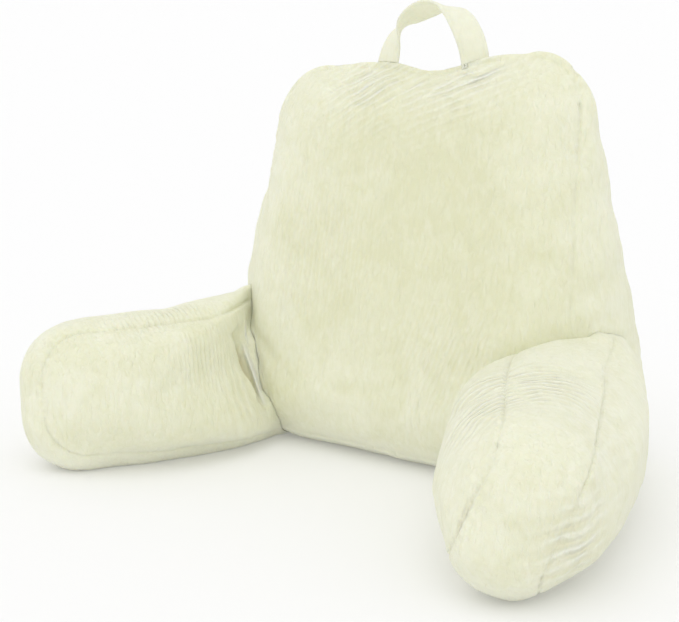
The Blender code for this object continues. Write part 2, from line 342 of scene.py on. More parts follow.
SEAM_POINTS_APART = 0.0015
SEAM_DEPTH = 0.0024
SEAM_HALF_WIDTH = 0.0017
PUCKER_DEPTH = 0.0011
PUCKER_REACH = 0.011
PUCKER_SPACING = 0.012
PUCKER_FAR = 4
PUCKER_WAVER = ((1.9, 37.0), (1.3, 91.0))
PUCKER_UNEVEN = (0.45, 23.0)
SEAM_CALM = 0.25


def sew(piece, lines, calm_above):
    """Draw the cloth in along its seams, with small gathers running off them."""
    points = points_of(piece)
    normals = normals_of(piece)
    sunk = np.zeros(len(points))
    for line, reach in lines:
        tree = KDTree(len(line))
        for k, p in enumerate(line):
            tree.insert(p, k)
        tree.balance()
        for k, p in enumerate(points):
            _, nearest, distance = tree.find(p)
            if distance > PUCKER_FAR * PUCKER_REACH:
                continue
            s = reach[nearest]
            waver = sum(size * sin(s * rate) for size, rate in PUCKER_WAVER)
            wave = sin(2 * pi * s / PUCKER_SPACING + waver)
            uneven = 1 - PUCKER_UNEVEN[0] + PUCKER_UNEVEN[0] * sin(s * PUCKER_UNEVEN[1] + 1.0)
            share = SEAM_CALM if p[2] > calm_above else 1.0
            sunk[k] += share * SEAM_DEPTH * exp(-(distance / SEAM_HALF_WIDTH) ** 2)
            gather = share * PUCKER_DEPTH * uneven * (0.5 + 0.5 * wave)
            sunk[k] += gather * exp(-distance / PUCKER_REACH)
    move_to(piece, points - normals * sunk[:, None])


FOLD_CATCH = 0.030


def fold(piece, rows):
    """Press folds into the cloth. A row is a fold's path, its half width and its height."""
    points = points_of(piece)
    normals = normals_of(piece)
    rise = np.zeros(len(points))
    for row in rows:
        path = np.array(row["path"])
        steps = np.linalg.norm(np.diff(path, axis=0), axis=1)
        reach = np.r_[0.0, np.cumsum(steps)]
        closest = np.full(len(points), 1.0)
        beside = np.full(len(points), 1.0)
        place = np.zeros(len(points))
        for k in range(len(path) - 1):
            span = path[k + 1] - path[k]
            share = np.clip((points - path[k]) @ span / (span @ span), 0, 1)
            away = points - path[k] - share[:, None] * span
            out = (away * normals).sum(1)
            apart = np.linalg.norm(away, axis=1)
            nearer = apart < closest
            closest[nearer] = apart[nearer]
            beside[nearer] = np.linalg.norm(away - out[:, None] * normals, axis=1)[nearer]
            place[nearer] = (reach[k] + share[nearer] * steps[k]) / reach[-1]
        ends = 1 - np.abs(2 * place - 1) ** 4
        near = np.exp(-(beside / row["half"]) ** 2) * np.exp(-(closest / FOLD_CATCH) ** 4)
        rise += row["height"] * near * ends
    move_to(piece, points + normals * rise[:, None])


LUMPS = ((0.085, 0.0020), (0.034, 0.0011), (0.016, 0.0005))
LUMP_SHIFT_DEEP = 0.7
LUMP_SHIFT_UP = 90.0


def plump(piece, seed):
    """Soft lumps of filling behind the cloth."""
    points = points_of(piece)
    normals = normals_of(piece)
    rise = np.zeros(len(points))
    for size, height in LUMPS:
        shift = Vector((seed, seed * LUMP_SHIFT_DEEP, size * LUMP_SHIFT_UP))
        rise += height * np.array([noise.noise(Vector(p) / size + shift) for p in points])
    move_to(piece, points + normals * rise[:, None])


def rest_flat(piece):
    """Press the underside flat where it lies on the floor."""
    points = points_of(piece)
    points[:, 2] = np.maximum(points[:, 2], 0.0)
    move_to(piece, points)


def dress(piece, material, node):
    """Give a finished piece its cloth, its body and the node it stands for."""
    piece.data.materials.clear()
    piece.data.materials.append(material)
    piece.data.shade_smooth()
    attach(piece, "root")
    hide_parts(node)


def soft_least(a, b, soft):
    """The lesser of two lengths, rounded off where they cross."""
    return 0.5 * (a + b - sqrt((a - b) ** 2 + soft ** 2))


def place_back(x, z, t, proud):
    """Where a point of the back lies: across, up, t from front to rear, and proud of its panel."""
    up = max(0.0, z / BACK_TOP)
    z += BACK_TOP_SLOPE * x * up
    z -= TOP_DIP * exp(-((x - TOP_DIP_MIDDLE) / TOP_DIP_REACH) ** 2) * up ** TOP_DIP_POWER
    depth = BACK_DEPTH_FOOT + (BACK_DEPTH_TOP - BACK_DEPTH_FOOT) * z / BACK_TOP
    depth = soft_least(depth, BACK_REAR_LIMIT - BACK_LEAN * z, BACK_REAR_SOFT)
    y = BACK_FRONT_FOOT + BACK_LEAN * z + max(depth, BACK_DEPTH_LEAST) * t
    low = max(0.0, 1 - z / BACK_LIP_RISE)
    y -= BACK_LIP * low * exp(-((t - BACK_LIP_AT) / BACK_LIP_AT) ** 2)
    hips = BACK_HIPS * sin(pi * t) * exp(-((z - BACK_HIPS_AT) / BACK_HIPS_REACH) ** 2)
    x += hips * x / BACK_CORNERS[1][0]
    return Vector((x, y - proud if t == 0 else y + proud, z))


def back_bulge(outward):
    """How far the back's strip swells out: most at the foot, a little more at the sides."""
    swell = BACK_STRIP_SWELL + BACK_SIDE_SWELL * outward[0] ** BACK_SIDE_SWELL_POWER
    return swell + BACK_FOOT_SWELL * max(0.0, -outward[1])


back, back_seams = box_cushion("back_cushion_cover", BACK_CORNERS, BACK_RADII, BACK_CROWNS,
                               BACK_FULLNESS, back_bulge, place_back, BACK_STEPS,
                               BACK_STRIP_STEPS)
BACK_CALM = 0.415
BACK_GIVE = 0.004
BACK_HELD = 1.0
BACK_LUMPS_AT = 1.0
BACK_FOLDS = [
    {"path": ((-0.232, -0.035, 0.290), (-0.238, -0.035, 0.235), (-0.244, -0.045, 0.190),
              (-0.250, -0.050, 0.150)), "half": 0.042, "height": 0.0085},
    {"path": ((-0.192, -0.097, 0.118), (-0.180, -0.111, 0.090), (-0.172, -0.112, 0.045),
              (-0.170, -0.100, 0.010)), "half": 0.020, "height": -0.009},
    {"path": ((-0.205, -0.085, 0.140), (-0.180, -0.108, 0.099), (-0.158, -0.115, 0.067),
              (-0.154, -0.111, 0.020)), "half": 0.006, "height": 0.004},
    {"path": ((-0.215, -0.080, 0.175), (-0.197, -0.093, 0.140), (-0.161, -0.110, 0.117),
              (-0.128, -0.122, 0.086)), "half": 0.010, "height": -0.004},
    {"path": ((-0.100, -0.049, 0.420), (-0.060, -0.023, 0.442)), "half": 0.006, "height": -0.004},
    {"path": ((0.063, -0.052, 0.429), (0.111, -0.027, 0.453)), "half": 0.006, "height": -0.004},
    {"path": ((0.222, -0.045, 0.178), (0.228, -0.005, 0.172), (0.231, 0.020, 0.165)),
     "half": 0.009, "height": 0.0035},
    {"path": ((0.210, -0.075, 0.150), (0.150, -0.095, 0.140), (0.100, -0.105, 0.115)),
     "half": 0.012, "height": -0.003},
]

PILE = (0.930, 0.935, 0.770, 1.0)
BRUSHED = (0.800, 0.802, 0.565, 1.0)
# Painted highlight on wrinkle crests and painted warm shade in wrinkle hollows, laid on in full at
# these wrinkle heights.
PAINTED_CREST_HIGHLIGHT = (0.985, 0.990, 0.860, 1.0)
PAINTED_CREST_HIGHLIGHT_FULL = 0.0026
PAINTED_HOLLOW_SHADE = (0.770, 0.695, 0.440, 1.0)
PAINTED_HOLLOW_SHADE_FULL = -0.0075
PATCH_SCALE = 15.0
FLECK_SCALE = 210.0
GRAIN_SCALE = 1100.0
PATCH_EDGES = (0.40, 0.66)
FLECK_EDGES = (0.30, 0.72)
PATCH_FORM = (5.0, 1.2)
FLECK_FORM = (3.0, 0.7)
GRAIN_FORM = (2.0, 0.0)
PATCH_SHARE = 0.34
FLECK_SHARE = 0.40
GRAIN_SHARE = 0.22
PAINTED_SHADE_SHARE = 0.46
FLECK_HEIGHT = 0.55
GRAIN_HEIGHT = 0.45
NAP_ROUGH = 0.78
PATCH_ROUGH = 0.12
UPRIGHT_STRETCH = 0.30
# Painted shade: the darker brushed colour is laid on more strongly towards the middle of the back's
# front panel, between the arms.
PAINTED_SHADE_MIDDLE = (0.03, -0.08, 0.27)
PAINTED_SHADE_REACH = 0.22
PAINTED_SHADE_CORE = 0.10
# Painted light from the floor: below these heights the brushed share fades out, so the foot of each
# piece is painted lighter.
FOOT_PAINTED_LIGHT_LOW = 0.010
FOOT_PAINTED_LIGHT_HIGH = 0.036
CLOTH_SHINE = 0.15
LIGHT_LET_IN = 0.22
LIGHT_LET_IN_DEPTH = 0.006
LIGHT_LET_IN_TINT = (1.0, 0.85, 0.55)
SHEEN = 0.35
SHEEN_ROUGH = 0.45
SHEEN_TINT = (1.0, 1.0, 0.92, 1.0)


def nap_and_painted_light_group():
    """Colour and height of brushed plush, over the surface of a piece, with painted shade towards the
    middle of the back and painted light at the foot.
    """
    group = bpy.data.node_groups.new("brushed_nap_and_painted_light", "ShaderNodeTree")
    sockets = group.interface
    for label, kind in (("Pile Colour", "NodeSocketColor"), ("Brushed Colour", "NodeSocketColor"),
                        ("Patch Scale", "NodeSocketFloat"), ("Fleck Scale", "NodeSocketFloat"),
                        ("Grain Scale", "NodeSocketFloat"), ("Brushing", "NodeSocketFloat"),
                        ("Painted Shade Middle", "NodeSocketVector")):
        sockets.new_socket(name=label, in_out="INPUT", socket_type=kind)
    sockets.new_socket(name="Colour", in_out="OUTPUT", socket_type="NodeSocketColor")
    sockets.new_socket(name="Height", in_out="OUTPUT", socket_type="NodeSocketFloat")
    sockets.new_socket(name="Roughness", in_out="OUTPUT", socket_type="NodeSocketFloat")
    nodes, links = group.nodes, group.links
    given = nodes.new("NodeGroupInput")
    result = nodes.new("NodeGroupOutput")
    place = nodes.new("ShaderNodeTexCoord")
    stretch = nodes.new("ShaderNodeMapping")
    stretch.inputs["Scale"].default_value = (1.0, 1.0, UPRIGHT_STRETCH)
    links.new(place.outputs["Object"], stretch.inputs["Vector"])

    def layer(coordinates, scale, form):
        made = nodes.new("ShaderNodeTexNoise")
        made.inputs["Detail"].default_value, made.inputs["Distortion"].default_value = form
        links.new(coordinates, made.inputs["Vector"])
        links.new(given.outputs[scale], made.inputs["Scale"])
        return made.outputs["Fac"]

    def sharpened(value, low, high):
        made = nodes.new("ShaderNodeMapRange")
        made.inputs["From Min"].default_value = low
        made.inputs["From Max"].default_value = high
        links.new(value, made.inputs["Value"])
        return made.outputs["Result"]

    def combine(operation, a, b, c=None):
        made = nodes.new("ShaderNodeMath")
        made.operation = operation
        for socket, value in zip(made.inputs, (a, b, c)):
            if value is None:
                continue
            if isinstance(value, (int, float)):
                socket.default_value = value
            else:
                links.new(value, socket)
        return made.outputs["Value"]

    patches = layer(place.outputs["Object"], "Patch Scale", PATCH_FORM)
    patches = sharpened(patches, *PATCH_EDGES)
    flecks = layer(stretch.outputs["Vector"], "Fleck Scale", FLECK_FORM)
    flecks = sharpened(flecks, *FLECK_EDGES)
    grain = layer(place.outputs["Object"], "Grain Scale", GRAIN_FORM)
    from_middle = nodes.new("ShaderNodeVectorMath")
    from_middle.operation = "DISTANCE"
    links.new(place.outputs["Object"], from_middle.inputs[0])
    links.new(given.outputs["Painted Shade Middle"], from_middle.inputs[1])
    # Painted shade: darker towards the middle of the back's front panel.
    painted_shade = sharpened(from_middle.outputs["Value"], PAINTED_SHADE_REACH, PAINTED_SHADE_CORE)
    share = combine("MULTIPLY", patches, PATCH_SHARE)
    share = combine("MULTIPLY_ADD", flecks, FLECK_SHARE, share)
    share = combine("MULTIPLY_ADD", grain, GRAIN_SHARE, share)
    share = combine("MULTIPLY_ADD", painted_shade, PAINTED_SHADE_SHARE, share)
    share = combine("MULTIPLY", share, given.outputs["Brushing"])
    # Painted light from the floor: the brushed share fades out towards the foot, leaving it lighter.
    parts = nodes.new("ShaderNodeSeparateXYZ")
    links.new(place.outputs["Object"], parts.inputs["Vector"])
    share = combine("MULTIPLY", share, sharpened(parts.outputs["Z"], FOOT_PAINTED_LIGHT_LOW, FOOT_PAINTED_LIGHT_HIGH))
    blend = nodes.new("ShaderNodeMix")
    blend.data_type = "RGBA"
    links.new(share, blend.inputs["Factor"])
    links.new(given.outputs["Pile Colour"], blend.inputs["A"])
    links.new(given.outputs["Brushed Colour"], blend.inputs["B"])
    links.new(blend.outputs["Result"], result.inputs["Colour"])
    height = combine("MULTIPLY", flecks, FLECK_HEIGHT)
    height = combine("MULTIPLY_ADD", grain, GRAIN_HEIGHT, height)
    links.new(height, result.inputs["Height"])
    rough = combine("MULTIPLY_ADD", patches, PATCH_ROUGH, NAP_ROUGH)
    links.new(rough, result.inputs["Roughness"])
    return group


NAP_AND_PAINTED_LIGHT = nap_and_painted_light_group()
WRINKLE_CATCH = 0.045
WANDER_SCALE = 32.0
WANDER = 1.0
UNEVEN_SCALE = 75.0
LINE_END_POWER = 3.0


def relief_group(name, vectors, values, recipe):
    """A node group that gives the height of one wrinkle or run of wrinkles on the cloth."""
    group = bpy.data.node_groups.new(name, "ShaderNodeTree")
    for label in vectors:
        group.interface.new_socket(name=label, in_out="INPUT", socket_type="NodeSocketVector")
    for label in values:
        group.interface.new_socket(name=label, in_out="INPUT", socket_type="NodeSocketFloat")
    group.interface.new_socket(name="Height", in_out="OUTPUT", socket_type="NodeSocketFloat")
    given = group.nodes.new("NodeGroupInput").outputs
    result = group.nodes.new("NodeGroupOutput").inputs["Height"]
    place = group.nodes.new("ShaderNodeTexCoord").outputs

    def joined(node, inputs):
        for socket, value in zip(node.inputs, inputs):
            if isinstance(value, (int, float)):
                socket.default_value = value
            else:
                group.links.new(value, socket)
        return node

    def number(operation, *inputs):
        made = group.nodes.new("ShaderNodeMath")
        made.operation = operation
        return joined(made, inputs).outputs["Value"]

    def vector(operation, *inputs):
        made = group.nodes.new("ShaderNodeVectorMath")
        made.operation = operation
        joined(made, inputs)
        return made.outputs["Value" if operation == "DOT_PRODUCT" else "Vector"]

    def mottle(scale):
        made = group.nodes.new("ShaderNodeTexNoise")
        made.inputs["Scale"].default_value = scale
        made.inputs["Detail"].default_value = 1.0
        group.links.new(place["Object"], made.inputs["Vector"])
        return made.outputs["Fac"]

    group.links.new(recipe(given, place, number, vector, mottle), result)
    return group


def wrinkle_run(given, place, number, vector, mottle):
    """Small wrinkles side by side, wandering a little and dying out away from their middle."""
    away = vector("SUBTRACT", place["Object"], given["Middle"])
    u = vector("DOT_PRODUCT", away, given["Run"])
    v = vector("DOT_PRODUCT", away, given["Step"])
    third = vector("CROSS_PRODUCT", given["Run"], given["Step"])
    off = number("DIVIDE", vector("DOT_PRODUCT", away, third), WRINKLE_CATCH)
    wander = number("MULTIPLY", number("SUBTRACT", mottle(WANDER_SCALE), 0.5), WANDER)
    turns = number("ADD", number("DIVIDE", v, given["Spacing"]), wander)
    wave = number("COSINE", number("MULTIPLY", turns, 2 * pi))
    far = number("POWER", number("DIVIDE", u, given["Long"]), 2.0)
    far = number("ADD", far, number("POWER", number("DIVIDE", v, given["Wide"]), 2.0))
    far = number("ADD", far, number("POWER", off, 2.0))
    fade = number("EXPONENT", number("MULTIPLY", far, -1.0))
    uneven = number("MULTIPLY", mottle(UNEVEN_SCALE), 2.0)
    strength = number("MULTIPLY", number("MULTIPLY", fade, uneven), given["Rise"])
    return number("MULTIPLY", wave, strength)


def drawn_line(given, place, number, vector, mottle):
    """One fine ridge or groove between two places on the cloth, dying out at both ends."""
    span = vector("SUBTRACT", given["To"], given["From"])
    away = vector("SUBTRACT", place["Object"], given["From"])
    share = number("DIVIDE", vector("DOT_PRODUCT", away, span), vector("DOT_PRODUCT", span, span))
    bow = number("MULTIPLY", number("SUBTRACT", mottle(WANDER_SCALE), 0.5), given["Half"])
    along = vector("MULTIPLY", span, share)
    beside = vector("SUBTRACT", away, along)
    out = vector("DOT_PRODUCT", beside, place["Normal"])
    apart = number("SUBTRACT", vector("DOT_PRODUCT", beside, beside), number("POWER", out, 2.0))
    apart = number("SQRT", number("MAXIMUM", apart, 0.0))
    apart = number("DIVIDE", number("ADD", apart, bow), given["Half"])
    ends = number("POWER", number("ABSOLUTE", number("MULTIPLY_ADD", share, 2.0, -1.0)), LINE_END_POWER)
    ends = number("MAXIMUM", number("SUBTRACT", 1.0, ends), 0.0)
    crest = number("EXPONENT", number("MULTIPLY", number("POWER", apart, 2.0), -1.0))
    return number("MULTIPLY", number("MULTIPLY", crest, ends), given["Rise"])


WRINKLE_RUN = relief_group("wrinkle_run", ("Middle", "Run", "Step"),
                           ("Long", "Wide", "Spacing", "Rise"), wrinkle_run)
DRAWN_LINE = relief_group("drawn_line", ("From", "To"), ("Half", "Rise"), drawn_line)


def unit(v):
    """A direction of length one, for a row of wrinkles."""
    return tuple(Vector(v).normalized())


def plush(name, pile, brushed, brushing, bump, runs=(), lines=()):
    """Plush with a piece's own fine wrinkles, a painted highlight on their crests and painted warm
    shade in their hollows.
    """
    made = bpy.data.materials.new(name)
    made.use_nodes = True
    nodes, links = made.node_tree.nodes, made.node_tree.links
    shader = nodes["Principled BSDF"]
    nap = nodes.new("ShaderNodeGroup")
    nap.node_tree = NAP_AND_PAINTED_LIGHT
    nap.inputs["Pile Colour"].default_value = pile
    nap.inputs["Brushed Colour"].default_value = brushed
    nap.inputs["Patch Scale"].default_value = PATCH_SCALE
    nap.inputs["Fleck Scale"].default_value = FLECK_SCALE
    nap.inputs["Grain Scale"].default_value = GRAIN_SCALE
    nap.inputs["Brushing"].default_value = brushing
    nap.inputs["Painted Shade Middle"].default_value = PAINTED_SHADE_MIDDLE
    wrinkles = nodes.new("ShaderNodeMath")
    wrinkles.inputs[0].default_value = 0.0
    wrinkles.inputs[1].default_value = 0.0
    for group, rows in ((WRINKLE_RUN, runs), (DRAWN_LINE, lines)):
        for row in rows:
            one = nodes.new("ShaderNodeGroup")
            one.node_tree = group
            for label, value in row.items():
                one.inputs[label].default_value = value
            total = nodes.new("ShaderNodeMath")
            links.new(wrinkles.outputs["Value"], total.inputs[0])
            links.new(one.outputs["Height"], total.inputs[1])
            wrinkles = total
    height = nodes.new("ShaderNodeMath")
    height.operation = "MULTIPLY_ADD"
    height.inputs[1].default_value = bump
    links.new(nap.outputs["Height"], height.inputs[0])
    links.new(wrinkles.outputs["Value"], height.inputs[2])
    colour = nap.outputs["Colour"]
    # Painted highlight on the wrinkles' crests, then painted warm shade in their hollows.
    for full, tint in ((PAINTED_CREST_HIGHLIGHT_FULL, PAINTED_CREST_HIGHLIGHT), (PAINTED_HOLLOW_SHADE_FULL, PAINTED_HOLLOW_SHADE)):
        share = nodes.new("ShaderNodeMapRange")
        share.inputs["From Min"].default_value = 0.0
        share.inputs["From Max"].default_value = full
        links.new(wrinkles.outputs["Value"], share.inputs["Value"])
        tinted = nodes.new("ShaderNodeMix")
        tinted.data_type = "RGBA"
        links.new(share.outputs["Result"], tinted.inputs["Factor"])
        links.new(colour, tinted.inputs["A"])
        tinted.inputs["B"].default_value = tint
        colour = tinted.outputs["Result"]
    relief = nodes.new("ShaderNodeBump")
    relief.inputs["Strength"].default_value = 1.0
    relief.inputs["Distance"].default_value = 1.0
    links.new(colour, shader.inputs["Base Color"])
    links.new(nap.outputs["Roughness"], shader.inputs["Roughness"])
    links.new(height.outputs["Value"], relief.inputs["Height"])
    links.new(relief.outputs["Normal"], shader.inputs["Normal"])
    shader.inputs["Specular IOR Level"].default_value = CLOTH_SHINE
    shader.inputs["Subsurface Weight"].default_value = LIGHT_LET_IN
    shader.inputs["Subsurface Radius"].default_value = LIGHT_LET_IN_TINT
    shader.inputs["Subsurface Scale"].default_value = LIGHT_LET_IN_DEPTH
    shader.inputs["Sheen Weight"].default_value = SHEEN
    shader.inputs["Sheen Roughness"].default_value = SHEEN_ROUGH
    shader.inputs["Sheen Tint"].default_value = SHEEN_TINT
    return made


COVER_NAP = 0.0016
COVER_BRUSHING = 1.0


BACK_RUNS = [
    {"Middle": (-0.060, -0.040, 0.425), "Run": unit((0.055, 0.010, 0.038)),
     "Step": unit((0.038, 0.0, -0.055)), "Long": 0.055, "Wide": 0.050, "Spacing": 0.0085,
     "Rise": 0.0011},
    {"Middle": (0.060, -0.045, 0.430), "Run": unit((0.065, 0.010, 0.026)),
     "Step": unit((0.026, 0.0, -0.065)), "Long": 0.070, "Wide": 0.040, "Spacing": 0.0090,
     "Rise": 0.0011},
    {"Middle": (-0.100, -0.090, 0.230), "Run": (0.0, 0.0, 1.0), "Step": (1.0, 0.0, 0.0),
     "Long": 0.100, "Wide": 0.090, "Spacing": 0.0060, "Rise": 0.00035},
    {"Middle": (0.100, -0.110, 0.130), "Run": unit((0.3, 0.0, 1.0)), "Step": unit((1.0, 0.0, -0.3)),
     "Long": 0.070, "Wide": 0.070, "Spacing": 0.0065, "Rise": 0.0004},
]
BACK_LINES = [
    {"From": (-0.096, -0.049, 0.422), "To": (-0.058, -0.023, 0.442), "Half": 0.0022, "Rise": 0.0016},
    {"From": (-0.078, -0.052, 0.405), "To": (-0.030, -0.023, 0.438), "Half": 0.0018, "Rise": 0.0014},
    {"From": (-0.060, -0.054, 0.396), "To": (-0.006, -0.023, 0.436), "Half": 0.0022, "Rise": 0.0018},
    {"From": (-0.030, -0.054, 0.398), "To": (0.014, -0.030, 0.428), "Half": 0.0018, "Rise": 0.0014},
    {"From": (0.012, -0.052, 0.408), "To": (0.072, -0.026, 0.443), "Half": 0.0022, "Rise": 0.0016},
    {"From": (0.046, -0.052, 0.418), "To": (0.112, -0.022, 0.454), "Half": 0.0020, "Rise": 0.0016},
    {"From": (-0.206, -0.085, 0.140), "To": (-0.152, -0.112, 0.020), "Half": 0.0018, "Rise": 0.0012},
    {"From": (-0.196, -0.090, 0.140), "To": (-0.140, -0.118, 0.060), "Half": 0.0018, "Rise": 0.0012},
]

back_plush = plush("back_plush", PILE, BRUSHED, COVER_BRUSHING, COVER_NAP, BACK_RUNS,
                   BACK_LINES)
settle(back, back_seams, BACK_GIVE, BACK_HELD)
back_lines = [seam_line(back, loop) for loop in back_seams]
refine(back, FINER_LEVELS)


# Arms: each a bolster of two crowned side panels and a strip that runs over the top, down
# the front end and under the foot, sewn to the lower corner of the back along a slanting seam.
# The filling has rolled the two arms differently, and their inner tops are pulled to the seam.
ARM_FOOT = 0.0105
ARM_TOP_ROOT = 0.169
ARM_TOP_FRONT = 0.1475
ARM_RADII = [0.020, 0.048, 0.056, 0.020]
ARM_STRIP_ROOT = 0.109
ARM_STRIP_FRONT = 0.084
ARM_CROWNS = (0.045, 0.045)
ARM_FULLNESS = 2.1
ARM_STRIP_SWELL = 0.0105
ARM_FOOT_SWELL = 0.0075
ARM_TOP_SWELL = 0.0015
ARM_END_SWELL = 0.0055
ARM_GIVE = 0.003
ARM_HELD = 0.6
ARM_CALM = 1.0
ARM_LUMPS_AT = 5.0
ROOT_SLIM = 0.40
ROOT_SLIM_REACH = 0.22
ROOT_SAG_POWER = 1.5
ARM_STEPS = 36
ARM_STRIP_STEPS = 10
# In a row, lengths are in metres and angles in degrees. The crease is how far in from the arm's
# middle line the cloth may reach, at each height. The drawn values are a depth, how far from the
# neighbour it fades out, and the height that it stays below.
ARMS = [
    {"name": "arm_left", "side": -1, "root_out": 0.172, "root_back": 0.075, "root_run": 0.070,
     "heading": (8.0, 35.0), "length": 0.348, "roll": (-4.0, 14.0), "lift": 0.003,
     "sag": 0.022, "sag_from": 0.050,
     "crease_at": 0.060, "slope": 0.85, "soft": 0.036, "back_drawn": (0.004, 0.018, 0.5),
     "drawn": (-0.0045, 0.008, 0.145),
     "crease": ((0.0, 0.042), (0.02, 0.038), (0.06, 0.010), (0.10, -0.018), (0.13, -0.026),
                (0.165, -0.026))},
    {"name": "arm_right", "side": 1, "root_out": 0.194, "root_back": 0.087, "root_run": 0.070,
     "heading": (22.0, 23.9), "length": 0.396, "roll": (-8.0, 22.0), "lift": 0.008,
     "sag": 0.020, "sag_from": 0.0,
     "crease_at": 0.045, "slope": 1.3, "soft": 0.030, "back_drawn": (0.003, 0.014, 0.5),
     "drawn": (0.003, 0.012, 0.5),
     "crease": ((0.0, 0.070), (0.09, 0.090), (0.125, 0.067), (0.17, -0.020))},
]
ARM_FOLDS = {
    "arm_left": [
        {"path": ((-0.186, -0.150, 0.140), (-0.187, -0.142, 0.105), (-0.172, -0.140, 0.072),
                  (-0.158, -0.138, 0.040)), "half": 0.009, "height": -0.017},
        {"path": ((-0.198, -0.118, 0.142), (-0.188, -0.118, 0.110), (-0.176, -0.118, 0.085),
                  (-0.166, -0.120, 0.060), (-0.150, -0.125, 0.030)), "half": 0.005,
         "height": 0.007},
        {"path": ((-0.170, -0.165, 0.090), (-0.165, -0.150, 0.058), (-0.168, -0.120, 0.018)),
         "half": 0.006, "height": 0.004},
    ],
    "arm_right": [
        {"path": ((0.305, -0.384, 0.140), (0.330, -0.396, 0.132)), "half": 0.016, "height": -0.004},
    ],
}
ARM_RUNS = {
    "arm_left": [
        {"Middle": (-0.175, -0.225, 0.125), "Run": unit((0.05, 0.0, 1.0)),
         "Step": unit((-0.5, -0.85, 0.0)), "Long": 0.040, "Wide": 0.055, "Spacing": 0.0058,
         "Rise": 0.0005},
        {"Middle": (-0.205, -0.240, 0.166), "Run": unit((0.8, -0.4, 0.3)),
         "Step": unit((-0.4, -0.8, 0.0)), "Long": 0.040, "Wide": 0.080, "Spacing": 0.0060,
         "Rise": 0.0004},
        {"Middle": (-0.170, -0.180, 0.060), "Run": unit((0.1, 0.25, -1.0)),
         "Step": unit((-0.5, -0.85, -0.2)), "Long": 0.045, "Wide": 0.040, "Spacing": 0.0120,
         "Rise": 0.0010},
    ],
    "arm_right": [
        {"Middle": (0.295, -0.245, 0.168), "Run": unit((0.77, 0.63, -0.05)),
         "Step": unit((0.63, -0.77, 0.0)), "Long": 0.045, "Wide": 0.055, "Spacing": 0.0110,
         "Rise": 0.0012},
        {"Middle": (0.272, -0.320, 0.158), "Run": unit((-0.30, -0.75, -0.45)),
         "Step": unit((0.85, -0.45, 0.10)), "Long": 0.050, "Wide": 0.040, "Spacing": 0.0105,
         "Rise": 0.0013},
        {"Middle": (0.225, -0.250, 0.140), "Run": unit((-0.25, -0.70, -0.60)),
         "Step": unit((0.50, -0.60, 0.60)), "Long": 0.060, "Wide": 0.050, "Spacing": 0.0140,
         "Rise": 0.0015},
        {"Middle": (0.388, -0.350, 0.062), "Run": unit((0.25, 0.95, 0.25)),
         "Step": unit((0.1, -0.25, 1.0)), "Long": 0.038, "Wide": 0.042, "Spacing": 0.0150,
         "Rise": 0.0017},
        {"Middle": (0.340, -0.250, 0.120), "Run": unit((0.45, -0.85, 0.1)),
         "Step": unit((0.1, 0.1, 1.0)), "Long": 0.120, "Wide": 0.050, "Spacing": 0.0130,
         "Rise": 0.0006},
    ],
}
ARM_LINES = {
    "arm_left": [
        {"From": (-0.206, -0.125, 0.162), "To": (-0.190, -0.120, 0.110), "Half": 0.0020,
         "Rise": 0.0020},
        {"From": (-0.190, -0.145, 0.118), "To": (-0.158, -0.139, 0.036), "Half": 0.0065,
         "Rise": -0.0050},
        {"From": (-0.186, -0.131, 0.122), "To": (-0.152, -0.131, 0.040), "Half": 0.0030,
         "Rise": 0.0035},
    ],
    "arm_right": [
        {"From": (0.312, -0.402, 0.105), "To": (0.300, -0.402, 0.062), "Half": 0.0030,
         "Rise": -0.0020},
    ],
}
SEWN_GAP = 0.0005
SEWN_FADE = 0.030
GAP_FAR = 4


def arm_placer(row):
    """A function that lays an arm's points along its curved, rolled middle line."""
    start, end = (radians(a) for a in row["heading"])
    roll_start, roll_end = (radians(a) for a in row["roll"])
    bend = (end - start) / row["length"]
    heights = [h for h, _ in row["crease"]]
    insets = [w for _, w in row["crease"]]

    def place(along, height, t, proud):
        share = min(max(along / row["length"], 0.0), 1.0)
        heading = start + bend * along
        out = (cos(start) - cos(heading)) / bend
        forward = (sin(heading) - sin(start)) / bend
        strip = ARM_STRIP_ROOT + (ARM_STRIP_FRONT - ARM_STRIP_ROOT) * share
        inward = strip * (0.5 - t)
        slim = ROOT_SLIM * max(0.0, 1 - (along + row["root_run"]) / ROOT_SLIM_REACH)
        inward += proud if t == 0 else -proud * (1 - slim)
        middle = (ARM_FOOT + ARM_TOP_ROOT + (ARM_TOP_FRONT - ARM_TOP_ROOT) * share) / 2
        roll = roll_start + (roll_end - roll_start) * share
        rise = height - middle
        across = inward * cos(roll) - rise * sin(roll)
        z = middle + inward * sin(roll) + rise * cos(roll) + row["lift"] * share ** 2
        behind = min(max(row["sag_from"] - along, 0.0) / row["root_run"], 1.0)
        z -= row["sag"] * behind ** ROOT_SAG_POWER * height / ARM_TOP_ROOT
        limit = float(np.interp(z, heights, insets))
        limit += row["slope"] * max(along - row["crease_at"], 0.0)
        across = soft_least(across, limit, row["soft"])
        x = row["root_out"] + out - across * cos(heading)
        y = BACK_FRONT_FOOT + row["root_back"] - forward - across * sin(heading)
        return Vector((row["side"] * x, y, z))
    return place


def arm_bulge(outward):
    """How far an arm's strip swells out: most at the foot and the front end."""
    swell = ARM_STRIP_SWELL + ARM_FOOT_SWELL * max(0.0, -outward[1])
    swell += ARM_TOP_SWELL * max(0.0, outward[1])
    return swell + ARM_END_SWELL * max(0.0, outward[0]) ** 2


def surface_of(piece):
    """A piece's surface, to measure from."""
    depsgraph = bpy.context.evaluated_depsgraph_get()
    return BVHTree.FromObject(piece, depsgraph)


def gap_to(points, tree, reach):
    """How far each point is from another piece's surface."""
    gaps = np.full(len(points), reach * GAP_FAR)
    for k, p in enumerate(points):
        _, _, _, distance = tree.find_nearest(Vector(p), reach * GAP_FAR)
        if distance is not None:
            gaps[k] = distance
    return gaps


